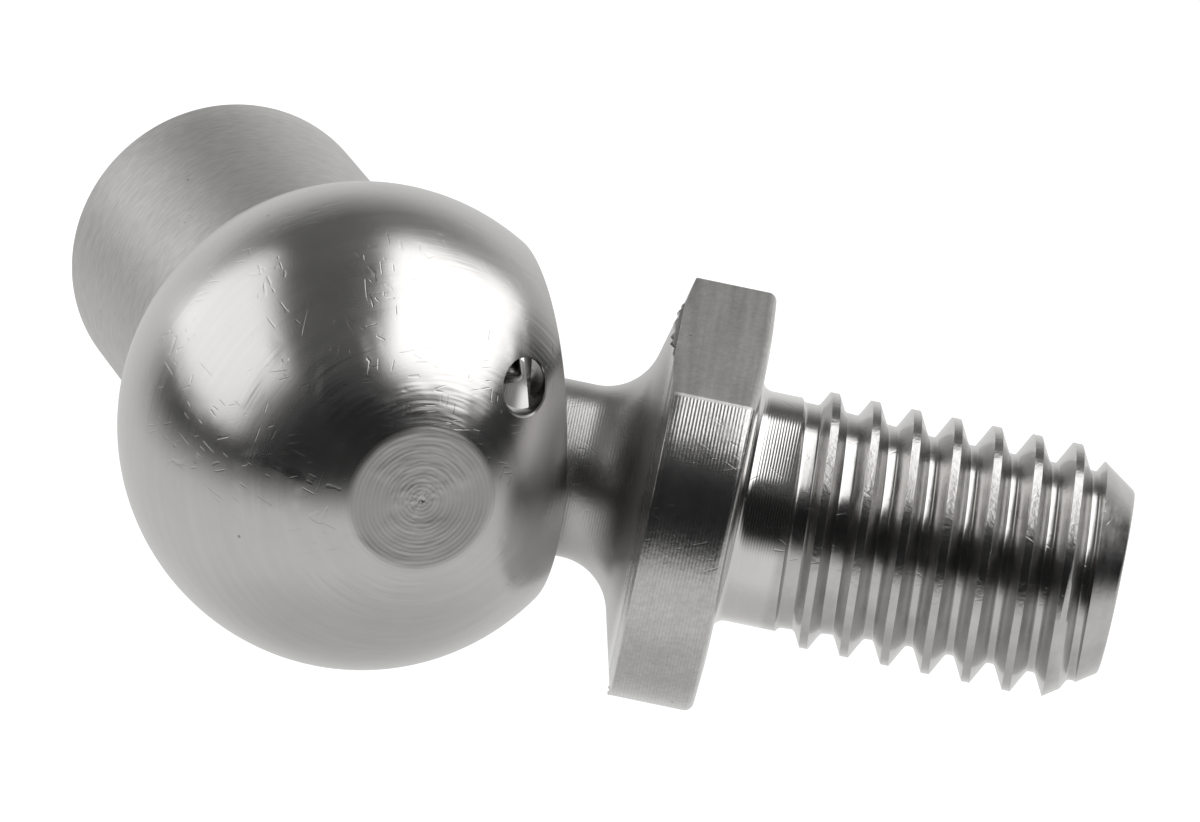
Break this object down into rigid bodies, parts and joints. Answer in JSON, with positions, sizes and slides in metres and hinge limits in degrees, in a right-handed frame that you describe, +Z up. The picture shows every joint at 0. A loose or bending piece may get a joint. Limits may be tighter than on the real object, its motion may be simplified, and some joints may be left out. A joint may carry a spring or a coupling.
{
  "type": "rod end ball joint",
  "caption": "Angle ball joint for a rod end: a round socket head on a threaded shank, holding a ball stud with a flatted collar and a threaded end.",
  "frame": {"origin": "centre of the shank's open end, where the rod's thread enters", "axes": "+Y runs along the shank's axis and leaves its thread; +X runs along the axis of the socket's mouth, out of the mouth; +Z is up when the joint lies on its side"},
  "size_m": [0.0302, 0.0286, 0.0151],
  "materials": {
    "socket_steel": "fine turned stainless steel, polished head and satin shank",
    "ring_steel": "drawn spring wire",
    "stud_steel": "machined stainless steel, bright thread crests"
  },
  "bodies": {
    "socket": {"ball_socket": "socket_steel"},
    "ring": {"snap_ring": "ring_steel"},
    "stud": {"ball_stud": "stud_steel"}
  },
  "joints": [
    {"name": "ring_turn", "type": "hinge", "parent": "socket", "child": "ring", "pos_m": [0, -0.0175, 0], "axis": [1, 0, 0], "continuous": true},
    {"name": "stud_tilt", "type": "hinge", "parent": "ring", "child": "stud", "pos_m": [0, -0.0175, 0], "axis": [0, 0.3955, -0.9184], "range_deg": [-42.8, 1.2]}
  ]
}
